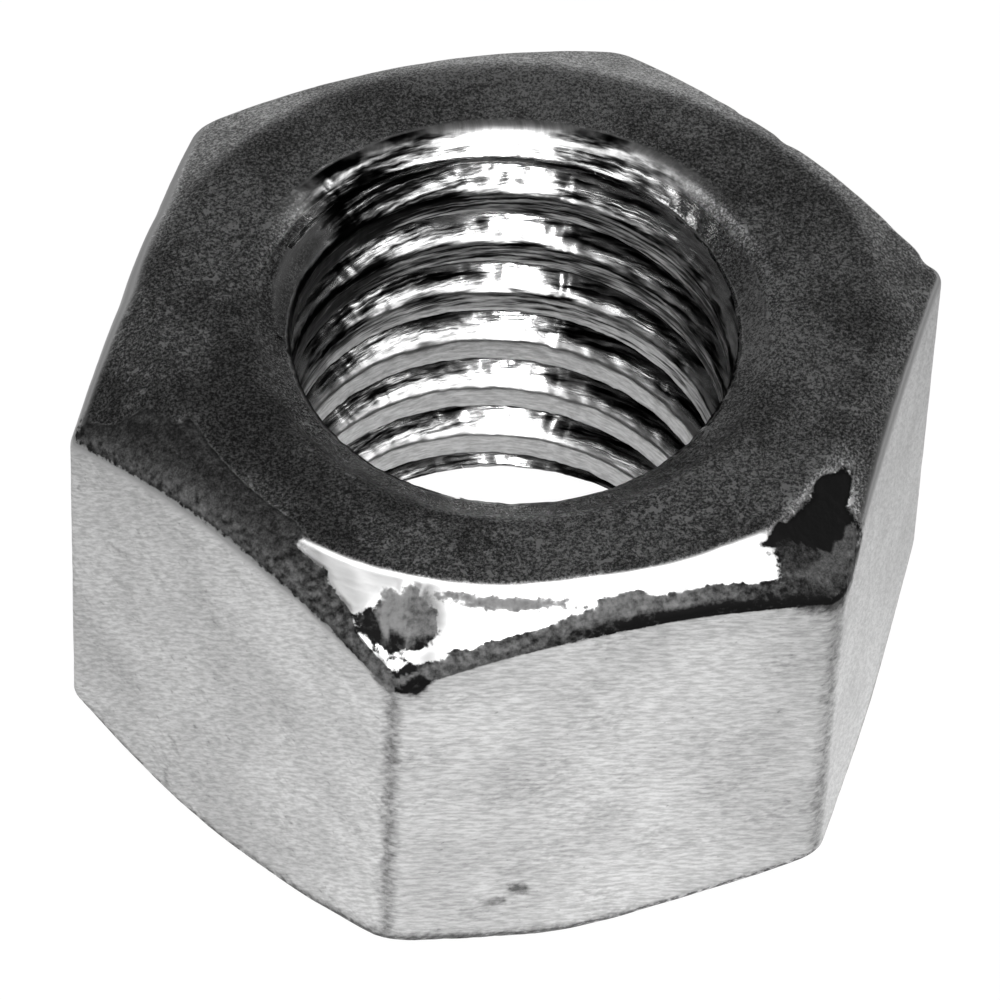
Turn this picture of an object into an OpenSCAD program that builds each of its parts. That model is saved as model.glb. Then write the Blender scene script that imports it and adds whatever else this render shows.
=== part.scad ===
// Hex nut with a right-hand coarse thread, made from one solid piece of steel.
// Both bearing faces are chamfered the same way, so it fits either way up.
// Millimetres. The thread axis is Z and the lower bearing face is on Z = 0.

/* [Body] */
// Width across two opposite flats
across_flats = 18.8; // [10:0.1:40]
// Height from one bearing face to the other
nut_height = 11.9; // [4:0.1:40]
// Outer diameter of the ring that bears on the work
bearing_diameter = 17.2; // [8:0.1:40]
// Slope of the corner chamfers, measured from the bearing face
corner_chamfer_angle = 30; // [15:1:45]

/* [Thread] */
// Nominal diameter, where the thread roots are
thread_diameter = 12; // [4:0.1:30]
// Distance between neighbouring turns
thread_pitch = 1.75; // [0.5:0.05:4]
// Diameter of the drilled hole, which the thread crests keep
hole_diameter = 10.5; // [3:0.05:28]
// Angle between the two flanks of a groove
flank_angle = 60; // [50:1:65]
// Compass direction in which a groove centre crosses the lower face plane
thread_start_angle = 270; // [0:5:355]
// Straight steps in one turn of the thread
steps_per_turn = 36; // [24:4:72]

/* [Countersinks] */
// Diameter of each countersink where it meets the bearing face
countersink_diameter = 12.8; // [6:0.1:32]
// Included angle of each countersink
countersink_angle = 120; // [60:5:140]

/* [Finish] */
// Colour of the dull plated steel
steel_color = [0.52, 0.52, 0.53];

/* [Hidden] */
$fn = 96;
past = 1;
bearing_radius = bearing_diameter / 2;
hole_radius = hole_diameter / 2;
corner_radius = across_flats / 2 / cos(30);
corner_drop = (corner_radius - bearing_radius) * tan(corner_chamfer_angle);
sink_depth = (countersink_diameter - hole_diameter) / 2 / tan(countersink_angle / 2);
root_radius = thread_diameter / 2;
root_half_width = thread_pitch / 16;
cutter_inner_radius = hole_radius - thread_pitch / 6;
groove_turns = ceil(nut_height / thread_pitch) + 2;

// Half the width of a groove at a distance r from the axis.
function half_width(r) = root_half_width + (root_radius - r) * tan(flank_angle / 2);

// The four corners of a groove's section: radius and height above its centre line.
groove_section = [
    [cutter_inner_radius, -half_width(cutter_inner_radius)],
    [root_radius, -root_half_width],
    [root_radius, root_half_width],
    [cutter_inner_radius, half_width(cutter_inner_radius)]
];

// The section's corners at one angle along the helix, which rises anticlockwise.
function section_at(angle) = [
    for (corner = groove_section) [
        corner[0] * cos(angle + thread_start_angle),
        corner[0] * sin(angle + thread_start_angle),
        corner[1] + thread_pitch * (angle / 360 - 1)
    ]
];

// Solid helical strip that cuts one continuous thread groove.
module groove_cutter() {
    steps = groove_turns * steps_per_turn;
    corners = len(groove_section);
    rings = [for (i = [0:steps]) each section_at(i * 360 / steps_per_turn)];
    sides = [
        for (i = [0:steps - 1], j = [0:corners - 1])
            let (a = i * corners + j, b = i * corners + (j + 1) % corners)
                each [[a, b, b + corners], [a, b + corners, a + corners]]
    ];
    first = [for (j = [corners - 1:-1:0]) j];
    last = [for (j = [0:corners - 1]) steps * corners + j];
    polyhedron(points = rings, faces = concat(sides, [first, last]));
}

// Cone pair that leaves a round bearing ring and takes the corners off both faces.
module chamfer_envelope() {
    cylinder(h = corner_drop, r1 = bearing_radius, r2 = corner_radius);
    translate([0, 0, corner_drop])
        cylinder(h = nut_height - 2 * corner_drop, r = corner_radius);
    translate([0, 0, nut_height - corner_drop])
        cylinder(h = corner_drop, r1 = corner_radius, r2 = bearing_radius);
}

// Cone that opens one end of the hole; it points up and sits on Z = 0.
module countersink() {
    reach = past * tan(countersink_angle / 2);
    translate([0, 0, -past])
        cylinder(
            h = sink_depth + past,
            r1 = countersink_diameter / 2 + reach,
            r2 = hole_radius
        );
}

// The whole nut.
module nut() {
    color(steel_color)
    difference() {
        intersection() {
            cylinder(h = nut_height, r = corner_radius, $fn = 6);
            chamfer_envelope();
        }
        translate([0, 0, -past])
            cylinder(h = nut_height + 2 * past, r = hole_radius);
        countersink();
        translate([0, 0, nut_height]) mirror([0, 0, 1]) countersink();
        groove_cutter();
    }
}

nut();
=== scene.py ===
"""Hex nut: one worn, plated nut standing on a pale floor under soft studio light."""

import math

import bpy
import numpy as np
from mathutils import Matrix, Vector, noise


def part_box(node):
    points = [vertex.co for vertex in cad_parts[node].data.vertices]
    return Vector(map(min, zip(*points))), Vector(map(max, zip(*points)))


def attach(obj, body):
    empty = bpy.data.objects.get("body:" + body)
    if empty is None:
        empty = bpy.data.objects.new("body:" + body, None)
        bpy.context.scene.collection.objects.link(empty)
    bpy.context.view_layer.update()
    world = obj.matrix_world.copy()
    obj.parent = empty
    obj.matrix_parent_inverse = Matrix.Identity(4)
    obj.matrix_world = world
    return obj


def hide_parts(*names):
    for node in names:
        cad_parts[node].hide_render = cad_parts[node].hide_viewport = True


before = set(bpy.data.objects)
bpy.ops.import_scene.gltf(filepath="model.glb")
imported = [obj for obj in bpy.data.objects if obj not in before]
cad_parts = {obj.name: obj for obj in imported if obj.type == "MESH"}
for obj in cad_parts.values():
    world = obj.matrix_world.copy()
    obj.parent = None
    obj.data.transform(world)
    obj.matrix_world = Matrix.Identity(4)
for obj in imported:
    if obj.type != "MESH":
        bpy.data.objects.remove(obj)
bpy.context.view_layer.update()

MM = 0.001
FIRST_FLAT = 30.0  # direction of the first flat, in degrees

# The nut's sizes in millimetres, from the CAD frame's box.
LOW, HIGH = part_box("nut")
HEIGHT = (HIGH.z - LOW.z) / MM
CORNER_R = HIGH.x / MM
FLAT_R = CORNER_R * math.cos(math.radians(30))
MIDDLE = HEIGHT / 2

# Sizes that the box doesn't give, the same as in the CAD part: bearing ring, countersinks, thread.
RING_R = 8.6
CHAMFER_SLOPE = math.tan(math.radians(30))
SINK_R = 6.4
HOLE_R = 5.25
ROOT_R = 6.0
PITCH = 1.75
GROOVE_START = 270.0
SINK_SLOPE = math.tan(math.radians(60))
SINK_DEPTH = (SINK_R - HOLE_R) / SINK_SLOPE
FLANK_SLOPE = math.tan(math.radians(30))
GROOVE_HALF = PITCH / 16 + (ROOT_R - HOLE_R) * FLANK_SLOPE
CREST_HALF = PITCH / 2 - GROOVE_HALF

# Depth of the worn groove, with its root rounded and its crest edges broken over this width.
WORN_DEPTH = 0.66
CREST_ROUND = 0.12

# The six corners, by direction, and how far the vertical edge of each is worn round.
CORNER_WEAR = {0: 0.4, 60: 0.7, 120: 0.8, 180: 0.35, 240: 0.8, 300: 0.8}

# Rounding of the countersink rims, and how far down each countersink the outside's mesh reaches.
RIM_FILLET = 0.7
RIM_DROP = 0.15

# Rounding of the edge between each chamfer and the flats: direction, width and added radius.
EDGE_RADIUS = 0.5
TOP_EDGE_WEAR = [
    (205, 20, 0.35), (228, 10, 0.2), (150, 25, 0.9), (252, 8, -0.22), (288, 18, -0.25),
    (20, 30, -0.2),
]
LOW_EDGE_WEAR = [(215, 30, -0.2), (270, 15, -0.1), (330, 20, -0.2)]

# Slope of the fine grain of each flat in degrees, counted from the flat that faces 30 degrees.
FLAT_GRAIN = [20, -35, 10, 39, -15, -47]


# ---------------------------------------------------------------- small helpers

def bell(angle, centre, width):
    """A smooth bump of height 1 round the nut, at a direction given in degrees."""
    off = (angle - centre + 180.0) % 360.0 - 180.0
    return np.exp(-((off / width) ** 2))


def wobble(angle, waves, seed):
    """Smooth noise from about -1 to 1 that runs once round the nut and meets itself."""
    a = math.radians(angle)
    return noise.noise(Vector((math.cos(a) * waves, math.sin(a) * waves, seed)))


def smooth(low, high, x):
    """0 below low, 1 above high, smooth between them."""
    t = np.clip((x - low) / (high - low), 0, 1)
    return t * t * (3 - 2 * t)


def point_noise(points, scale, seed, octaves=3):
    """Fractal noise from about -1 to 1 at each of some points in millimetres."""
    shift = Vector((seed, 2.3 * seed, -seed))
    return np.array([noise.fractal(Vector(p) * scale + shift, 1.0, 2.0, octaves) for p in points])


# ---------------------------------------------------------------- the nut's mesh

# Mesh columns: degrees from a corner where they stand close together, then the even ones.
NEAR_COLUMNS = [0.0, 0.3, 0.6, 0.9, 1.2, 1.6, 2.1, 2.7, 3.4, 4.2]
FLAT_COLUMNS = (5.15, 55.0, 1.0)

# Distance from each end of an arc to the extra point that keeps the surface beside it flat.
ARC_MARGIN = 0.04

# Points that fall on the same step of this grid, in steps per millimetre, become one.
WELD_GRID = 2e4


def column_angles():
    """Directions of the mesh columns in degrees, closer together at the six corners."""
    near = NEAR_COLUMNS
    flat = list(np.arange(*FLAT_COLUMNS))
    one = near + flat + [60 - a for a in near[:0:-1]]
    return np.array([60 * k + a for k in range(6) for a in one])


def hexagon_radius(angle, fillet):
    """Distance from the axis to the filleted hexagon, in a direction given in degrees."""
    off = math.radians((angle + 30.0) % 60.0 - 30.0)
    centre = (FLAT_R - fillet) / math.cos(math.radians(30))
    half = math.radians(30)
    tangent = half - math.atan((FLAT_R - fillet) * math.tan(half) / FLAT_R)
    if abs(off) < tangent:
        return centre * math.cos(off) + math.sqrt(max(fillet**2 - (centre * math.sin(off)) ** 2, 0))
    return FLAT_R / math.cos(half - abs(off))


def fillet_points(before, corner, after, radius, steps):
    """Points of an arc that rounds a corner of the profile, with one more just past each end."""
    a = (before - corner) / np.linalg.norm(before - corner)
    b = (after - corner) / np.linalg.norm(after - corner)
    half = math.acos(max(-1.0, min(1.0, float(a @ b)))) / 2
    reach = radius / math.tan(half)
    centre = corner + (a + b) / np.linalg.norm(a + b) * radius / math.sin(half)
    p, q = corner + a * reach, corner + b * reach
    out = [p + a * ARC_MARGIN]
    for i in range(steps + 1):
        t = i / steps
        m = p * (1 - t) + q * t - centre
        out.append(centre + m / np.linalg.norm(m) * radius)
    out.append(q + b * ARC_MARGIN)
    return out


def spread(start, end, count):
    """Points between two ends, neither end included."""
    return [start + (end - start) * i / (count + 1) for i in range(1, count + 1)]


def top_ring(angle):
    """Radius of the worn bearing ring on the top face, by direction."""
    worn = 0.30 * bell(angle, 267, 15) + 0.10 * bell(angle, 245, 14) + 0.05 * bell(angle, 80, 60)
    return RING_R - 0.04 - worn + 0.18 * bell(angle, 297, 6) + 0.35 * bell(angle, 10, 22)


def low_ring(angle):
    """Radius of the worn bearing ring on the bottom face, by direction."""
    left = 0.32 * bell(angle, 218, 50) + 0.30 * bell(angle, 198, 18)
    return RING_R - 0.15 + left + 0.35 * bell(angle, 263, 12) + 0.75 * bell(angle, 345, 30)


def end_wear(angle, top):
    """Ring radius and the radius of the ring's fillet at one end of the nut, in one direction."""
    if top:
        return top_ring(angle) + 0.03 * wobble(angle, 2.5, 3.0), 0.45 + 1.8 * bell(angle, 80, 70)
    return low_ring(angle) + 0.04 * wobble(angle, 2.5, 5.0), 0.8 - 0.4 * bell(angle, 345, 40)


def edge_fillet(angle, wear, room, seed):
    """Radius between a chamfer and a flat, no more than the chamfer's free length allows."""
    radius = EDGE_RADIUS + sum(more * bell(angle, way, width) for way, width, more in wear)
    radius += 0.10 * wobble(angle, 9.0, seed)
    return min(max(0.2, radius), room / math.tan(math.radians(30)))


def outer_profile(angle):
    """The outline from the top countersink, over the outside, to the bottom countersink."""
    corner = 60 * round(angle / 60.0) % 360
    r = hexagon_radius(angle, CORNER_WEAR[corner])
    ring, roll = end_wear(angle, True)
    under, low_roll = end_wear(angle, False)
    turn = math.tan(math.radians(15))
    tilt = math.cos(math.radians(30))
    room = (r - ring) / tilt - roll * turn - 0.1
    low_room = max((r - under) / tilt - low_roll * turn - 0.1, 0.05)
    edge = edge_fillet(angle, TOP_EDGE_WEAR, room, 8.0)
    low_edge = edge_fillet(angle, LOW_EDGE_WEAR, low_room, 11.0)
    down = np.array([SINK_SLOPE, 1.0]) * RIM_DROP
    points = [
        np.array([SINK_R, HEIGHT]) - down,
        np.array([SINK_R, HEIGHT]),
        np.array([ring, HEIGHT]),
        np.array([r, HEIGHT - (r - ring) * CHAMFER_SLOPE]),
        np.array([r, (r - under) * CHAMFER_SLOPE]),
        np.array([under, 0.0]),
        np.array([SINK_R, 0.0]),
        np.array([SINK_R, 0.0]) - down * np.array([1, -1]),
    ]
    # Which point is rounded, its radius, steps of the arc, points between it and the last arc.
    arcs = [(1, RIM_FILLET, 4, 1), (2, roll, 7, 8), (3, edge, 7, 8), (4, low_edge, 6, 25),
            (5, low_roll, 5, 5), (6, RIM_FILLET, 4, 6)]
    rows = [points[0]]
    for i, radius, steps, count in arcs:
        arc = fillet_points(points[i - 1], points[i], points[i + 1], radius, steps)
        rows += spread(rows[-1], arc[0], count) + arc
    return np.array(rows + [points[7]])


def soft_max(a, b, k):
    """The larger of a and b, with the join rounded over a width k."""
    h = np.clip(0.5 + 0.5 * (a - b) / k, 0, 1)
    return b * (1 - h) + a * h + k * h * (1 - h) * 0.5


def crest_height(angle):
    """Height of the middle of one crest in a direction in degrees; the others are pitches away."""
    return PITCH * (angle - GROOVE_START) / 360.0 + PITCH / 2


def thread_radius(offset):
    """Wall radius at a height above the middle of a crest."""
    u = np.abs((offset + PITCH / 2) % PITCH - PITCH / 2)
    t = np.clip(soft_max((u - CREST_HALF) / GROOVE_HALF, 0.0, CREST_ROUND), 0, 1)
    return HOLE_R + WORN_DEPTH * (1 - (1 - t) ** 1.3)


def sink_radius(z):
    """Radius of the nearer countersink cone at a height."""
    return SINK_R - np.minimum(z, HEIGHT - z) * SINK_SLOPE


def sink_edge(angle, top):
    """Height at which a countersink gives way to the thread, in one direction."""
    fine = np.linspace(RIM_DROP + 0.02, SINK_DEPTH, 300)
    z = HEIGHT - fine if top else fine
    deeper = np.nonzero(thread_radius(z - crest_height(angle)) > sink_radius(z))[0]
    return float(z[deeper[0]]) if len(deeper) else float(z[-1])


# Mesh rows over one pitch, as heights above the middle of a crest.
CREST_ROWS = [-0.34, -0.29, -0.15, 0.0, 0.15, 0.29, 0.34]
GROOVE_ROWS = [0.38, 0.45, 0.53, 0.61, 0.69, 0.76, 0.875, 0.99, 1.06, 1.14, 1.22, 1.30, 1.37]

# Mesh rows on each countersink, between its rim and the thread.
SINK_ROWS = 6


def bore_column(angle):
    """The hole's wall from the bottom rim to the top rim, as radius and height."""
    low, high = sink_edge(angle, False), sink_edge(angle, True)
    first = crest_height(0.0) % PITCH + PITCH * angle / 360.0 - 2 * PITCH
    turns = int(math.ceil(HEIGHT / PITCH)) + 3
    rows = CREST_ROWS + GROOVE_ROWS
    helix = np.array([first + k * PITCH + row for k in range(turns) for row in rows])
    z = np.concatenate([
        np.linspace(RIM_DROP, low, SINK_ROWS),
        np.clip(helix, low, high),
        np.linspace(high, HEIGHT - RIM_DROP, SINK_ROWS),
    ])
    r = np.where((z <= low) | (z >= high), sink_radius(z), thread_radius(z - crest_height(angle)))
    return np.stack([r, z], axis=1)


def nut_grid():
    """Points, faces, and for each point whether it is in the hole, all round the nut."""
    angles = column_angles()
    outer = [outer_profile(a) for a in angles]
    bore = [bore_column(a) for a in angles]
    rows_out, rows_in = len(outer[0]), len(bore[0])
    turn = len(CREST_ROWS + GROOVE_ROWS)
    points = []
    for a, out, hole in zip(angles, outer, bore):
        c, s = math.cos(math.radians(a)), math.sin(math.radians(a))
        points += [(r * c, r * s, z) for r, z in np.concatenate([out, hole])]
    in_hole = np.tile(np.r_[np.zeros(rows_out), np.ones(rows_in)], len(angles))
    faces = []
    rows = rows_out + rows_in
    for i in range(len(angles)):
        k = (i + 1) % len(angles)
        for j in range(rows - 1):
            # The outside ends where the hole's wall begins, so no face joins those two rows.
            if j == rows_out - 1:
                continue
            # The thread's rows climb one pitch in a turn, so they meet the next turn's rows.
            helical = rows_out + SINK_ROWS <= j < rows - SINK_ROWS - 1
            beside = j + turn if k == 0 and helical else j
            if beside + 1 >= rows - SINK_ROWS and helical:
                continue
            a, b = i * rows, k * rows
            faces.append((a + j, a + j + 1, b + beside + 1, b + beside))
    return np.array(points), faces, in_hole


def welded(points, faces, in_hole):
    """Merges points that coincide and drops the faces that vanish with them."""
    key = np.round(points * WELD_GRID).astype(np.int64)
    _, first, back = np.unique(key, axis=0, return_index=True, return_inverse=True)
    back = back.reshape(-1)
    kept = []
    for f in faces:
        g = list(dict.fromkeys(int(back[i]) for i in f))
        if len(g) > 2:
            kept.append(tuple(g))
    return points[first], kept, in_hole[first]


# ---------------------------------------------------------------- dents, nicks and dirt

# The round dish on the chamfer: direction in degrees, radius and height of its middle.
DISH = (239.3, 9.48, 11.39)

# Direction in degrees, radius and height of the middle, size, depth.
DENTS = [
    (*DISH, 0.60, 0.15),
    (243.0, 10.45, 10.85, 0.35, 0.06),
    (265.0, 8.60, 11.88, 0.16, 0.06),
    (268.5, 8.75, 11.80, 0.12, 0.04),
    (42.6, 9.85, 11.25, 0.22, 0.10),
    (37.4, 9.55, 11.40, 0.20, 0.08),
    (28.7, 9.45, 11.45, 0.25, 0.09),
    (8.0, 10.4, 10.95, 0.30, 0.12),
    (2.4, 10.6, 10.85, 0.22, 0.10),
    (240.0, 10.7, 0.75, 0.35, 0.10),
]

# Direction, radius and height of the middle; size round the nut, across, and upward; how fully
# it covers the metal; how black it is.
DIRT = [
    (305.0, 9.38, 11.47, 0.98, 0.68, 0.80, 1.30, 1.35),
    (310.5, 9.05, 11.60, 0.85, 0.30, 0.80, 1.30, 1.35),
    (299.8, 8.92, 11.70, 0.70, 0.15, 0.60, 1.10, 1.10),
    (301.8, 10.10, 11.05, 1.25, 1.05, 0.90, 1.20, 0.66),
    (299.2, 9.60, 11.30, 0.60, 0.65, 0.70, 1.20, 0.84),
    (233.9, 9.60, 11.32, 0.26, 0.36, 0.30, 1.20, 1.00),
    (242.3, 10.54, 10.62, 0.46, 0.38, 0.44, 1.20, 1.00),
    (239.6, 10.80, 10.62, 0.65, 0.40, 0.40, 0.90, 0.25),
    (250.9, 9.95, 1.88, 0.35, 0.40, 0.20, 0.68, 0.40),
    (254.6, 9.75, 2.10, 0.45, 0.40, 0.20, 0.62, 0.40),
    (257.4, 9.62, 2.33, 0.38, 0.40, 0.24, 0.78, 0.50),
    (255.4, 9.71, 3.07, 0.80, 0.40, 0.35, 0.42, 0.30),
    (190.0, 10.00, 6.80, 1.20, 0.50, 0.35, 0.36, 0.30),
    (197.2, 9.65, 1.00, 0.16, 0.50, 0.90, 0.42, 0.40),
    (199.5, 9.57, 2.50, 0.18, 0.50, 0.75, 0.44, 0.40),
    (203.2, 9.45, 3.70, 0.35, 0.50, 0.25, 0.38, 0.40),
    (208.0, 8.70, 11.90, 1.60, 0.30, 0.30, 0.50, 0.40),
    (187.0, 10.22, 7.90, 0.80, 0.50, 0.30, 0.34, 0.30),
    (207.2, 9.41, 8.11, 0.22, 0.50, 0.22, 0.44, 0.40),
    (265.0, 9.44, 1.83, 0.30, 0.40, 0.14, 0.36, 0.30),
    (274.6, 9.43, 5.32, 0.70, 0.40, 0.50, 0.26, 0.20),
    (283.8, 9.68, 4.31, 0.50, 0.40, 0.40, 0.28, 0.20),
]

# Dirt along the edge of the top chamfer: direction, reach inward from the edge, cover, blackness.
EDGE_DIRT = [
    (176, 0.10, 0.00, 0.84), (184, 1.50, 1.05, 0.84), (190, 2.20, 1.10, 0.84),
    (196, 2.10, 1.10, 0.84), (205, 1.80, 1.10, 0.84), (214, 1.60, 1.10, 0.83),
    (218, 1.20, 1.10, 0.80), (221, 0.86, 1.10, 0.76), (225, 0.74, 1.10, 0.72),
    (230, 0.60, 1.10, 0.72), (234, 0.34, 1.10, 0.70), (238, 0.25, 1.05, 0.55),
    (243, 0.30, 1.00, 0.52), (257, 0.32, 1.05, 0.64), (265, 0.50, 1.00, 0.50),
    (272, 0.64, 0.98, 0.42), (282, 0.56, 1.05, 0.55), (290, 0.48, 1.15, 0.78),
    (298, 0.55, 1.15, 0.82), (303, 0.60, 1.10, 0.72), (309, 0.10, 0.00, 0.70),
]

# Dirt down the vertical edges: direction of the corner, half width in degrees, cover.
CORNER_DIRT = [
    (240, 1.7, 0.45), (300, 2.3, 0.40), (180, 1.2, 0.26), (0, 1.2, 0.26), (60, 1.2, 0.28),
    (120, 1.2, 0.28),
]


def place(angle, r, z):
    """A point in millimetres from its direction in degrees, radius and height."""
    a = math.radians(angle)
    return np.array([r * math.cos(a), r * math.sin(a), z])


def dent_depth(points):
    """How far each point is pushed in by the listed dents."""
    depth = np.zeros(len(points))
    for angle, r, z, size, deep in DENTS:
        d = np.linalg.norm(points - place(angle, r, z), axis=1) / size
        depth += deep * np.exp(-(d**2))
    return depth


class Dirt:
    """How fully dirt and painted shade cover each point, and how black they are."""

    def __init__(self, count):
        self.cover = np.zeros(count)
        self.black = np.zeros(count)

    def lay(self, cover, black):
        """Adds a layer wherever it covers more than what is there already."""
        more = cover > self.cover
        self.cover = np.where(more, cover, self.cover)
        self.black = np.where(more, black, self.black)


def lay_dish(dirt, points):
    """The dish on the chamfer's front corner: grey inside, black round its outer side."""
    off = points - place(*DISH)
    d = np.linalg.norm(off, axis=1)
    a = math.radians(DISH[0])
    out = off @ np.array([math.cos(a), math.sin(a), 0])
    side = off @ np.array([-math.sin(a), math.cos(a), 0])
    dirt.lay(1.05 * (1 - smooth(0.62, 0.90, d)), 0.20 + 0.25 * (side > 0))
    outer = smooth(-0.4, 0.4, (out - 0.2 * side) / np.maximum(d, 0.01))
    dirt.lay(1.3 * np.exp(-(((d - 0.66) / 0.17) ** 2)) * outer, 0.95)


def lay_edge(dirt, points, angle, r, outside):
    """A band beside the edge between the top chamfer and the flats."""
    ways, reaches, covers, blacks = np.array(EDGE_DIRT).T
    z = points[:, 2]
    inward = FLAT_R / np.cos(np.radians(angle % 60 - 30)) - r
    reach = np.interp(angle, ways, reaches) * (1 + 0.4 * point_noise(points, 1.3, 31.0, 2))
    band = np.interp(angle, ways, covers) * (1 - smooth(0.8 * reach, reach + 0.1, inward))
    flat_top = HEIGHT - (r - top_ring(angle)) * CHAMFER_SLOPE
    above = smooth(-0.24, -0.06, z - flat_top) * outside * (z > MIDDLE)
    at_front = smooth(255, 272, angle) * (1 - smooth(298, 304, angle))
    line = at_front * (1 - smooth(0.08, 0.26, inward))
    black = np.interp(angle, ways, blacks)
    # On the left the band pales toward the flats.
    pale = 0.20 * bell(angle, 200, 22) * (1 - smooth(0.10, 0.90, inward))
    dirt.lay(band * above, (black - pale) * (1 - line) + 1.05 * line)
    # A grey streak just outside the ring, above the bright part of the chamfer.
    streak = 0.92 * np.exp(-(((r - 8.76) / 0.15) ** 2)) * bell(angle, 253, 12)
    dirt.lay(streak * outside * (z > HEIGHT - 0.4), 0.15)


def hole_grime_and_shade(angle, r, z):
    """Darkening in the hole: a dark band under the top countersink and dark side walls, partly
    grime and partly painted shade; painted shade in the thread's grooves, left clear where the
    highlight falls, and on the crests, more toward the top.
    """
    left = smooth(98, 112, angle) * (1 - smooth(225, 250, angle)) * smooth(6.2, 8.2, z)
    right = (bell(angle, 8, 30) + bell(angle, 330, 30)) * smooth(6.5, 8.5, z)
    band = np.exp(-(((z - 10.75) / 0.42) ** 2))
    band = band * smooth(70, 95, angle) * (1 - smooth(125, 150, angle))
    # Painted shade: the grooves are darkened all round except where the highlight falls, and the
    # crests more toward the top.
    core = bell(angle, 73, 9)
    groove = 0.48 * smooth(5.3, 5.55, r) * (1 - core) * (z < HEIGHT - 1.2)
    crest = 0.46 * smooth(3.5, 9.0, z) * (1 - smooth(5.3, 5.4, r))
    walls = np.maximum(0.84 * left, 0.62 * np.minimum(right, 1)) * (r < SINK_R - 1.0)
    return np.maximum.reduce([groove, crest, walls, 0.88 * band])


def sink_side_shade(angle, z):
    """Painted shade at both sides of the bright part of the top countersink, leaving the
    highlight's middle clear.
    """
    sides = smooth(22, 44, angle) * (1 - smooth(122, 134, angle)) * (1 - bell(angle, 76, 13))
    cover = 0.50 + 0.18 * smooth(85, 110, angle)
    return cover * sides * smooth(HEIGHT - 1.3, HEIGHT - 1.1, z)


def lay_spots(dirt, points):
    """The listed spots and smudges, as soft ellipsoids."""
    for way, radius, height, along, across, up, cover, black in DIRT:
        a = math.radians(way)
        off = points - place(way, radius, height)
        out = off @ np.array([math.cos(a), math.sin(a), 0])
        side = off @ np.array([-math.sin(a), math.cos(a), 0])
        d = (out / across) ** 2 + (side / along) ** 2 + (off[:, 2] / up) ** 2
        dirt.lay(cover * np.exp(-(d**1.4)), black)


def top_rim(r, z):
    """Whether a point is on or inside the rounded rim of the top countersink."""
    return (r < SINK_R + 0.25) & (z > MIDDLE)


def all_dirt_and_shade(points, angle, r, in_hole, upright):
    """Cover and blackness of the dirt and painted shade at each point, before fine noise breaks it
    up.
    """
    z = points[:, 2]
    outside = in_hole < 0.5
    dirt = Dirt(len(points))
    push = [point_noise(points, 1.5, seed, 2) for seed in (41.0, 43.0, 47.0)]
    bent = points + np.stack(push, 1) * 0.25
    lay_dish(dirt, bent)
    lay_edge(dirt, points, angle, r, outside)
    lay_spots(dirt, bent)
    for corner, width, cover in CORNER_DIRT:
        dirt.lay(cover * bell(angle, corner, width) * upright * outside, 0.5)
    # Painted shade along the bottom edge, where the floor under the nut is shaded: a grey crust,
    # heavier on the side facing 250 degrees.
    over_edge = z - (r - low_ring(angle)) * CHAMFER_SLOPE
    bottom = (0.44 + 0.24 * bell(angle, 250, 22)) * (1 - smooth(0.12, 0.52, over_edge))
    dirt.lay(bottom * outside * (z < MIDDLE), 0.5)
    # Painted shade beside the countersink's highlight, and grime and painted shade in the hole,
    # laid in as dark dirt.
    sink = sink_side_shade(angle, z)
    dirt.lay(np.where(outside & top_rim(r, z), sink, 0), 1.0)
    dirt.lay(np.where(outside, 0, np.maximum(hole_grime_and_shade(angle, r, z), sink)), 1.0)
    return dirt


def grain_place(points, angle, in_hole):
    """Position along and across the fine grain of the nearest flat, or of the thread, in mm."""
    side = np.floor(angle / 60).astype(int) % 6
    way = np.radians(60 * side + FIRST_FLAT)
    slope = np.radians(np.array(FLAT_GRAIN)[side])
    level = points[:, 1] * np.cos(way) - points[:, 0] * np.sin(way)
    along = level * np.cos(slope) + points[:, 2] * np.sin(slope)
    across = points[:, 2] * np.cos(slope) - level * np.sin(slope)
    along = np.where(in_hole > 0.5, HOLE_R * np.radians(angle), along)
    across = np.where(in_hole > 0.5, points[:, 2] - PITCH * angle / 360, across)
    return np.stack([along, across, 3.7 * side * (in_hole < 0.5)], axis=1)


def add_attribute(mesh, name, values):
    """Stores a number or a vector at each point, for the material to read."""
    kind, field = ("FLOAT_VECTOR", "vector") if values.ndim > 1 else ("FLOAT", "value")
    attribute = mesh.attributes.new(name, kind, "POINT")
    attribute.data.foreach_set(field, values.astype(np.float32).ravel())


def inward_wear(points, in_hole, cover):
    """How far each point is pushed in: soft waves outside, torn thread inside, and the dents."""
    waves = point_noise(points, 0.5, 4.0, 2) * 0.012 + point_noise(points, 2.2, 9.0, 2) * 0.006
    rough = np.abs(point_noise(points, 4.0, 15.0)) * 0.05 * smooth(0.5, 0.9, cover)
    torn = np.abs(point_noise(points * np.array([1, 1, 2.5]), 1.6, 21.0)) * 0.045
    return np.where(in_hole > 0.5, torn, np.abs(waves) + rough) + dent_depth(points)


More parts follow.
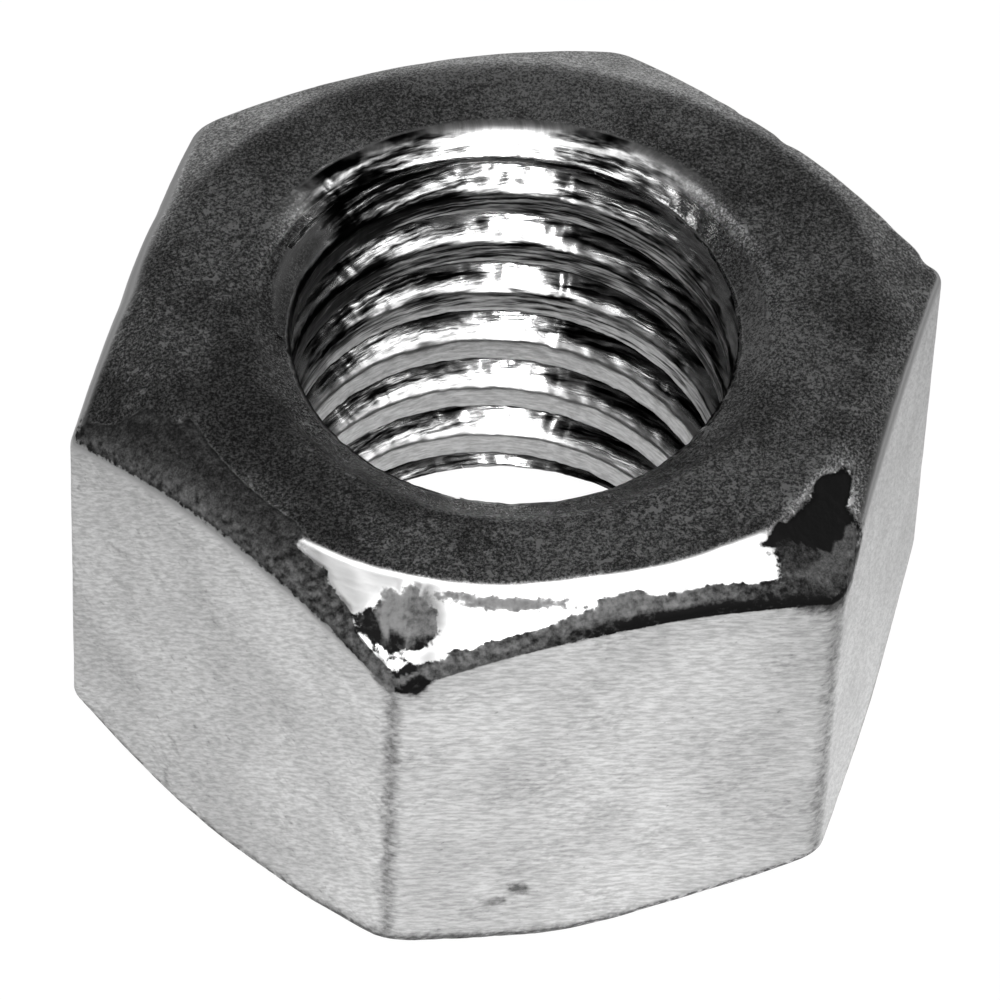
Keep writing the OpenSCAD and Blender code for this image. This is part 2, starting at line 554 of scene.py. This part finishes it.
def paint(mesh, points, angle, r, in_hole, upright, level, dirt):
    """Stores at each point what kind of surface it is on, how it is worn, and its dirt and painted
    shade.
    """
    at_back = smooth(15, 50, angle) * (1 - smooth(120, 140, angle))
    on_sink = smooth(HEIGHT - 0.75, HEIGHT - 0.6, points[:, 2])
    inside = np.where(top_rim(r, points[:, 2]), 1 - on_sink * (1 - at_back), in_hole)
    # The front part of the top chamfer is polished, the rest of the top is grainy.
    polished = smooth(214, 224, angle) * (1 - smooth(295, 298, angle)) * (r > 7)
    grainy = polished * smooth(0.965, 0.99, level) + (1 - polished) * smooth(0.72, 0.84, level)
    # The back of the top is paler, its left and front are darker, and the top countersink's sides
    # are paler: partly wear, partly painted light.
    worn = 0.58 * bell(angle, 80, 42) + 0.10 * bell(angle, 335, 40)
    dull = 0.22 * bell(angle, 185, 50) + 0.10 * bell(angle, 262, 35)
    rubbed = 0.75 * in_hole * on_sink * (bell(angle, 350, 55) + 0.4 * bell(angle, 180, 60))
    add_attribute(mesh, "hole", inside)
    add_attribute(mesh, "groove", in_hole * smooth(5.28, 5.5, r))
    add_attribute(mesh, "face", (1 - inside) * grainy)
    add_attribute(mesh, "grain", grain_place(points, angle, in_hole))
    # The dirt and black attributes carry painted shade too: along the bottom edge, beside the
    # countersink's highlight and in the thread.
    add_attribute(mesh, "dirt", dirt.cover)
    add_attribute(mesh, "black", dirt.black)
    add_attribute(mesh, "flank", upright)
    add_attribute(mesh, "shade", 1 + worn - dull + rubbed)


def build_nut():
    """The worn nut as one closed mesh, with its wear in the shape and in point attributes."""
    points, faces, in_hole = welded(*nut_grid())
    mesh = bpy.data.meshes.new("nut_worn")
    mesh.from_pydata([tuple(p) for p in points], [], faces)
    mesh.update()
    normal = np.array([tuple(v.normal) for v in mesh.vertices])
    level = np.abs(normal[:, 2])
    angle = np.degrees(np.arctan2(points[:, 1], points[:, 0])) % 360
    r = np.hypot(points[:, 0], points[:, 1])
    upright = np.where(in_hole > 0.5, 0, smooth(0.75, 0.95, 1 - level))
    dirt = all_dirt_and_shade(points, angle, r, in_hole, upright)
    points = points - normal * inward_wear(points, in_hole, dirt.cover)[:, None]
    mesh.vertices.foreach_set("co", (points * MM).ravel())
    paint(mesh, points, angle, r, in_hole, upright, level, dirt)
    mesh.validate()
    mesh.update()
    for p in mesh.polygons:
        p.use_smooth = True
    ob = bpy.data.objects.new("nut_worn", mesh)
    bpy.context.scene.collection.objects.link(ob)
    print("nut_worn:", len(mesh.vertices), "vertices,",
          sum(len(p.vertices) - 2 for p in mesh.polygons), "triangles", flush=True)
    return ob


# ---------------------------------------------------------------- materials

class Graph:
    """Short ways to add shader nodes and join them."""

    def __init__(self, material):
        material.use_nodes = True
        self.tree = material.node_tree
        self.shader = self.tree.nodes["Principled BSDF"]

    def put(self, socket, value):
        """Joins another node's output to a socket, or sets the socket to a number."""
        if isinstance(value, bpy.types.NodeSocket):
            self.tree.links.new(value, socket)
        else:
            socket.default_value = value

    def math(self, operation, a, b=0.0):
        """The result of one operation on two values."""
        n = self.tree.nodes.new("ShaderNodeMath")
        n.operation = operation
        self.put(n.inputs[0], a)
        self.put(n.inputs[1], b)
        return n.outputs[0]

    def ramp(self, value, low, high, start=0.0, end=1.0):
        """Goes smoothly from start to end as the value goes from low to high."""
        n = self.tree.nodes.new("ShaderNodeMapRange")
        n.interpolation_type = "SMOOTHSTEP"
        for socket, v in zip(n.inputs, (value, low, high, start, end)):
            self.put(socket, v)
        return n.outputs[0]

    def attribute(self, name, output="Fac"):
        """What the mesh stores at each point under a name."""
        n = self.tree.nodes.new("ShaderNodeAttribute")
        n.attribute_name = name
        return n.outputs[output]

    def scaled(self, vector, x, y, z):
        """A vector times a factor for each axis."""
        n = self.tree.nodes.new("ShaderNodeMapping")
        n.inputs["Scale"].default_value = (x, y, z)
        self.put(n.inputs["Vector"], vector)
        return n.outputs[0]

    def stretched(self, x, y, z):
        """Object coordinates in millimetres, times a factor for each axis."""
        coordinates = self.tree.nodes.new("ShaderNodeTexCoord")
        return self.scaled(coordinates.outputs["Object"], x / MM, y / MM, z / MM)

    def noise(self, vector, detail=3.0, roughness=0.55):
        """Fractal noise from 0 to 1 at the place that the vector gives."""
        n = self.tree.nodes.new("ShaderNodeTexNoise")
        self.put(n.inputs["Vector"], vector)
        for name, v in (("Scale", 1.0), ("Detail", detail), ("Roughness", roughness)):
            n.inputs[name].default_value = v
        return n.outputs["Fac"]

    def fade(self, value, amount):
        """The value where amount is 1, and 1 where amount is 0."""
        more = self.math("MULTIPLY", self.math("SUBTRACT", value, 1.0), amount)
        return self.math("ADD", more, 1.0)

    def bump(self, height, strength, distance, below=None):
        """Adds relief of a distance in millimetres to the normal below it."""
        n = self.tree.nodes.new("ShaderNodeBump")
        self.put(n.inputs["Strength"], strength)
        self.put(n.inputs["Distance"], distance * MM)
        self.put(n.inputs["Height"], height)
        if below is not None:
            self.put(n.inputs["Normal"], below)
        return n.outputs[0]

    def grey(self, value):
        """A neutral colour of one brightness."""
        n = self.tree.nodes.new("ShaderNodeCombineColor")
        for socket in n.inputs:
            self.put(socket, value)
        return n.outputs[0]


def plating_tone(g, streak, grain, speck):
    """Brightness of the bare plating: streaked flats and hole, and a grainy, flecked top."""
    hole, flank = g.attribute("hole"), g.attribute("flank")
    blotch = g.noise(g.stretched(0.7, 0.7, 1.0), 2.0, 0.5)
    cloud = g.noise(g.stretched(0.35, 0.35, 0.35), 3.0, 0.55)
    fleck = g.noise(g.stretched(5.5, 5.5, 5.5), 2.0)

    streaks = g.ramp(streak, 0.30, 0.70, 0.68, 1.10)
    dull = g.math("MULTIPLY", g.ramp(blotch, 0.42, 0.72), g.ramp(speck, 0.40, 0.62))
    specks = g.ramp(speck, 0.70, 0.78, 1.0, 0.72)
    tone = g.math("MULTIPLY", streaks, specks)
    tone = g.math("MULTIPLY", tone, g.ramp(dull, 0.0, 1.0, 1.0, 0.84))
    tone = g.fade(tone, g.math("MAXIMUM", flank, hole))

    grains = g.ramp(grain, 0.43, 0.66, 0.20, 1.70)
    clouds = g.ramp(cloud, 0.3, 0.7, 0.60, 1.45)
    flecks = g.math("MULTIPLY", g.ramp(fleck, 0.59, 0.68), g.ramp(cloud, 0.42, 0.60))
    face_tone = g.math("MULTIPLY", grains, clouds)
    face_tone = g.math("ADD", face_tone, g.math("MULTIPLY", flecks, 2.2))
    # Tones by direction round the top, partly wear and partly painted light.
    face_tone = g.math("MULTIPLY", face_tone, g.attribute("shade"))
    tone = g.math("MULTIPLY", tone, g.fade(face_tone, g.attribute("face")))
    tone = g.math("MULTIPLY", tone, g.fade(g.ramp(cloud, 0.3, 0.7, 0.76, 0.97), flank))
    return g.math("MULTIPLY", tone, 0.64)


def patches(g, grain, speck, outside):
    """Fine noise about 0 that breaks up the dirt and painted shade outside the hole, less on the
    flats.
    """
    coarse = g.math("ADD", g.math("MULTIPLY", g.attribute("face"), -0.6), 0.9)
    fine = g.math("MULTIPLY", g.math("SUBTRACT", grain, 0.5), 0.8)
    patchy = g.math("ADD", fine, g.math("MULTIPLY", g.math("SUBTRACT", speck, 0.5), coarse))
    calm = g.math("SUBTRACT", outside, g.math("MULTIPLY", g.attribute("flank"), 0.6))
    return g.math("MULTIPLY", patchy, calm)


def dirt_and_shade_cover(g, patchy, marks):
    """How fully dirt and painted shade cover the metal: the amount stored at the points, broken up
    by patches and streaks.
    """
    dirt = g.attribute("dirt")
    streaky = g.math("MULTIPLY", g.math("SUBTRACT", marks, 0.5), 2.2)
    broken = g.math("ADD", patchy, g.math("MULTIPLY", streaky, g.attribute("hole")))
    broken = g.math("ADD", dirt, broken)
    return g.math("MULTIPLY", g.ramp(broken, 0.15, 0.85), g.ramp(dirt, 0.02, 0.30))


def steel_relief(g, streak, grain, speck, marks, outer):
    """Fine relief: grain on the flats and the top, lumps in the crust, tool marks in the hole."""
    flank = g.attribute("flank")
    crust = g.math("MULTIPLY", outer, g.math("SUBTRACT", 1.0, flank))
    torn = g.math("MULTIPLY", g.attribute("groove"), 0.18)
    torn = g.math("ADD", torn, g.math("MULTIPLY", g.attribute("hole"), 0.08))
    normal = g.bump(streak, g.math("MULTIPLY", flank, 0.25), 0.03)
    normal = g.bump(speck, g.math("MULTIPLY", crust, 0.5), 0.05, normal)
    normal = g.bump(grain, g.math("MULTIPLY", g.attribute("face"), 0.30), 0.015, normal)
    return g.bump(marks, g.math("ADD", torn, 0.03), 0.08, normal)


def plated_steel():
    """Dull plating with streaked flats, a grainy top, tool marks in the hole, and black dirt and
    painted shade.
    """
    material = bpy.data.materials.new("plated_steel")
    g = Graph(material)
    hole = g.attribute("hole")
    streak = g.noise(g.scaled(g.attribute("grain", "Vector"), 2.6, 12.0, 1.0), 3.0, 0.65)
    grain = g.noise(g.stretched(15.0, 15.0, 15.0), 4.0, 0.85)
    speck = g.noise(g.stretched(5.0, 5.0, 7.0), 1.0, 0.5)
    marks = g.noise(g.stretched(0.8, 0.8, 11.0), 3.0, 0.55)

    outside = g.math("SUBTRACT", 1.0, hole)
    patchy = patches(g, grain, speck, outside)
    cover = dirt_and_shade_cover(g, patchy, marks)
    outer = g.math("MULTIPLY", cover, outside)
    bare = g.math("SUBTRACT", 1.0, outer)

    # Outside, dirt and painted shade are a dull crust, grey to black. In the hole they are a dark
    # layer over the metal.
    soil_and_shade = g.ramp(g.math("ADD", g.attribute("black"), patchy), 0.0, 1.0, 0.27, 0.004)
    film_and_shade = g.math("SUBTRACT", 1.0, g.math("MULTIPLY", g.math("MULTIPLY", cover, hole), 0.95))
    clean = plating_tone(g, streak, grain, speck)
    metal = g.math("MULTIPLY", clean, g.math("POWER", film_and_shade, 2.0))
    # The crust's colour takes over sooner than its dullness, so that its edges stay dark.
    sooner = g.math("ADD", g.math("MULTIPLY", g.attribute("flank"), -1.2), 2.5)
    soiled_and_shaded = g.math("MINIMUM", g.math("MULTIPLY", outer, sooner), 1.0)
    colour = g.math("ADD", g.math("MULTIPLY", metal, g.math("SUBTRACT", 1.0, soiled_and_shaded)),
                    g.math("MULTIPLY", soil_and_shade, soiled_and_shaded))
    g.put(g.shader.inputs["Base Color"], g.grey(colour))

    # The metal in the hole is smoother, the crests and countersinks a little rougher again.
    shine = g.math("ADD", g.math("MULTIPLY", hole, -0.08), 0.30)
    shine = g.math("ADD", shine, g.math("MULTIPLY", outer, 0.4))
    ridges = g.math("SUBTRACT", hole, g.attribute("groove"))
    shine = g.math("ADD", shine, g.math("MULTIPLY", ridges, 0.14))
    g.put(g.shader.inputs["Metallic"], bare)
    g.put(g.shader.inputs["Roughness"], shine)
    g.shader.inputs["Specular IOR Level"].default_value = 0.12
    g.put(g.shader.inputs["Normal"], steel_relief(g, streak, grain, speck, marks, outer))
    return material


# Middle of the bright part of the floor, in millimetres.
FLOOR_BRIGHT_AT = (-4.0, -12.0, 0.0)


def floor_material():
    """Floor that glows: an even white to the camera; in what the metal reflects, a painted pool of
    light near the nut that falls off to grey.
    """
    material = bpy.data.materials.new("floor_white")
    g = Graph(material)
    length = g.tree.nodes.new("ShaderNodeVectorMath")
    length.operation = "DISTANCE"
    g.put(length.inputs[0], g.stretched(1.0, 1.0, 0.0))
    length.inputs[1].default_value = FLOOR_BRIGHT_AT
    # Painted pool of light, seen only in reflections: bright near the nut, grey further out.
    near = g.ramp(length.outputs["Value"], 4.0, 45.0, 1.0, 0.22)
    near = g.math("ADD", near, g.ramp(length.outputs["Value"], 45.0, 75.0, 0.0, 0.25))
    seen = g.tree.nodes.new("ShaderNodeLightPath").outputs["Is Camera Ray"]
    unseen = g.math("SUBTRACT", 1.0, seen)
    glow = g.math("ADD", g.math("MULTIPLY", g.math("MULTIPLY", near, 0.18), unseen), seen)
    g.shader.inputs["Roughness"].default_value = 0.9
    paper = g.math("MULTIPLY", g.math("MULTIPLY", near, 0.95), unseen)
    g.put(g.shader.inputs["Base Color"], g.grey(paper))
    g.shader.inputs["Emission Color"].default_value = (1, 1, 1, 1)
    g.put(g.shader.inputs["Emission Strength"], glow)
    return material


# ---------------------------------------------------------------- stage

def build_floor():
    """A wide round floor under the nut."""
    bpy.ops.mesh.primitive_circle_add(vertices=96, radius=1.5, fill_type="NGON", location=(0, 0, 0))
    floor = bpy.context.object
    floor.name = "floor"
    floor.data.materials.append(floor_material())


def area_light(name, place_at, turn, width, depth, power):
    """A panel that faces the nut, with its long side turned about the upright axis."""
    light = bpy.data.lights.new(name, "AREA")
    light.shape = "RECTANGLE"
    light.size, light.size_y, light.energy = width, depth, power
    ob = bpy.data.objects.new(name, light)
    bpy.context.scene.collection.objects.link(ob)
    ob.location = place_at
    back = Vector(place_at).normalized()
    side = Vector((math.cos(math.radians(turn)), math.sin(math.radians(turn)), 0))
    side = (side - back * side.dot(back)).normalized()
    up = back.cross(side)
    ob.matrix_world = Matrix((
        (side.x, up.x, back.x, place_at[0]), (side.y, up.y, back.y, place_at[1]),
        (side.z, up.z, back.z, place_at[2]), (0, 0, 0, 1)))
    ob.visible_camera = False


# The camera's direction from the nut, height above the horizon and roll, in degrees; its distance
# and the point that it looks at, in millimetres; its focal length.
CAMERA_SIDE = 252.62
CAMERA_ELEVATION = 48.22
CAMERA_ROLL = 2.668
CAMERA_DISTANCE = 187.1
CAMERA_TARGET = (-0.17, -0.21, 5.73)
CAMERA_LENS = 276.6


def toward(camera, side, up):
    """A place given by distances toward the camera, to the camera's right, and up."""
    a = math.radians(CAMERA_SIDE)
    x = camera * math.cos(a) - side * math.sin(a)
    y = camera * math.sin(a) + side * math.cos(a)
    return (x, y, up)


def build_lights():
    """A pale room that the camera sees as white, and two soft panels."""
    world = bpy.data.worlds.new("studio")
    world.use_nodes = True
    tree = world.node_tree
    bg = tree.nodes["Background"]
    bg.inputs["Color"].default_value = (1, 1, 1, 1)
    seen = tree.nodes.new("ShaderNodeLightPath").outputs["Is Camera Ray"]
    strength = tree.nodes.new("ShaderNodeMapRange")
    tree.links.new(seen, strength.inputs["Value"])
    strength.inputs["To Max"].default_value = 1.0
    tree.links.new(strength.outputs[0], bg.inputs["Strength"])
    # Darker overhead than near the horizon, where the room's walls are.
    way = tree.nodes.new("ShaderNodeSeparateXYZ")
    tree.links.new(tree.nodes.new("ShaderNodeTexCoord").outputs["Generated"], way.inputs[0])
    fade = tree.nodes.new("ShaderNodeMapRange")
    for socket, value in zip(fade.inputs[1:5], (0.30, 0.80, 0.10, 0.022)):
        socket.default_value = value
    tree.links.new(way.outputs["Z"], fade.inputs["Value"])
    tree.links.new(fade.outputs[0], strength.inputs["To Min"])
    bpy.context.scene.world = world
    area_light("panel_high", toward(0.06, 0.10, 0.60), CAMERA_SIDE + 80, 0.90, 0.26, 2.6)
    area_light("panel_core", toward(0.31, 0.05, 0.52), CAMERA_SIDE + 90, 0.085, 0.44, 2.1)


def build_camera():
    """Looks down at the nut over the corner between two flats, through a long lens."""
    e = math.radians(CAMERA_ELEVATION)
    back = Vector(toward(math.cos(e), 0, math.sin(e)))
    right = Vector((0, 0, 1)).cross(back).normalized()
    up = back.cross(right)
    turn = math.radians(CAMERA_ROLL)
    r = right * math.cos(turn) + up * math.sin(turn)
    u = up * math.cos(turn) - right * math.sin(turn)
    data = bpy.data.cameras.new("camera")
    data.sensor_width = 36.0
    data.lens = CAMERA_LENS
    data.clip_start = 0.01
    cam = bpy.data.objects.new("camera", data)
    bpy.context.scene.collection.objects.link(cam)
    cam.matrix_world = Matrix((
        (r.x, u.x, back.x, 0), (r.y, u.y, back.y, 0), (r.z, u.z, back.z, 0), (0, 0, 0, 1)))
    cam.location = Vector(CAMERA_TARGET) * MM + back * (CAMERA_DISTANCE * MM)
    bpy.context.scene.camera = cam


bpy.context.scene.view_settings.view_transform = "Standard"
build_floor()
build_lights()
build_camera()
nut = build_nut()
nut.data.materials.append(plated_steel())
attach(nut, "root")
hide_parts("nut")
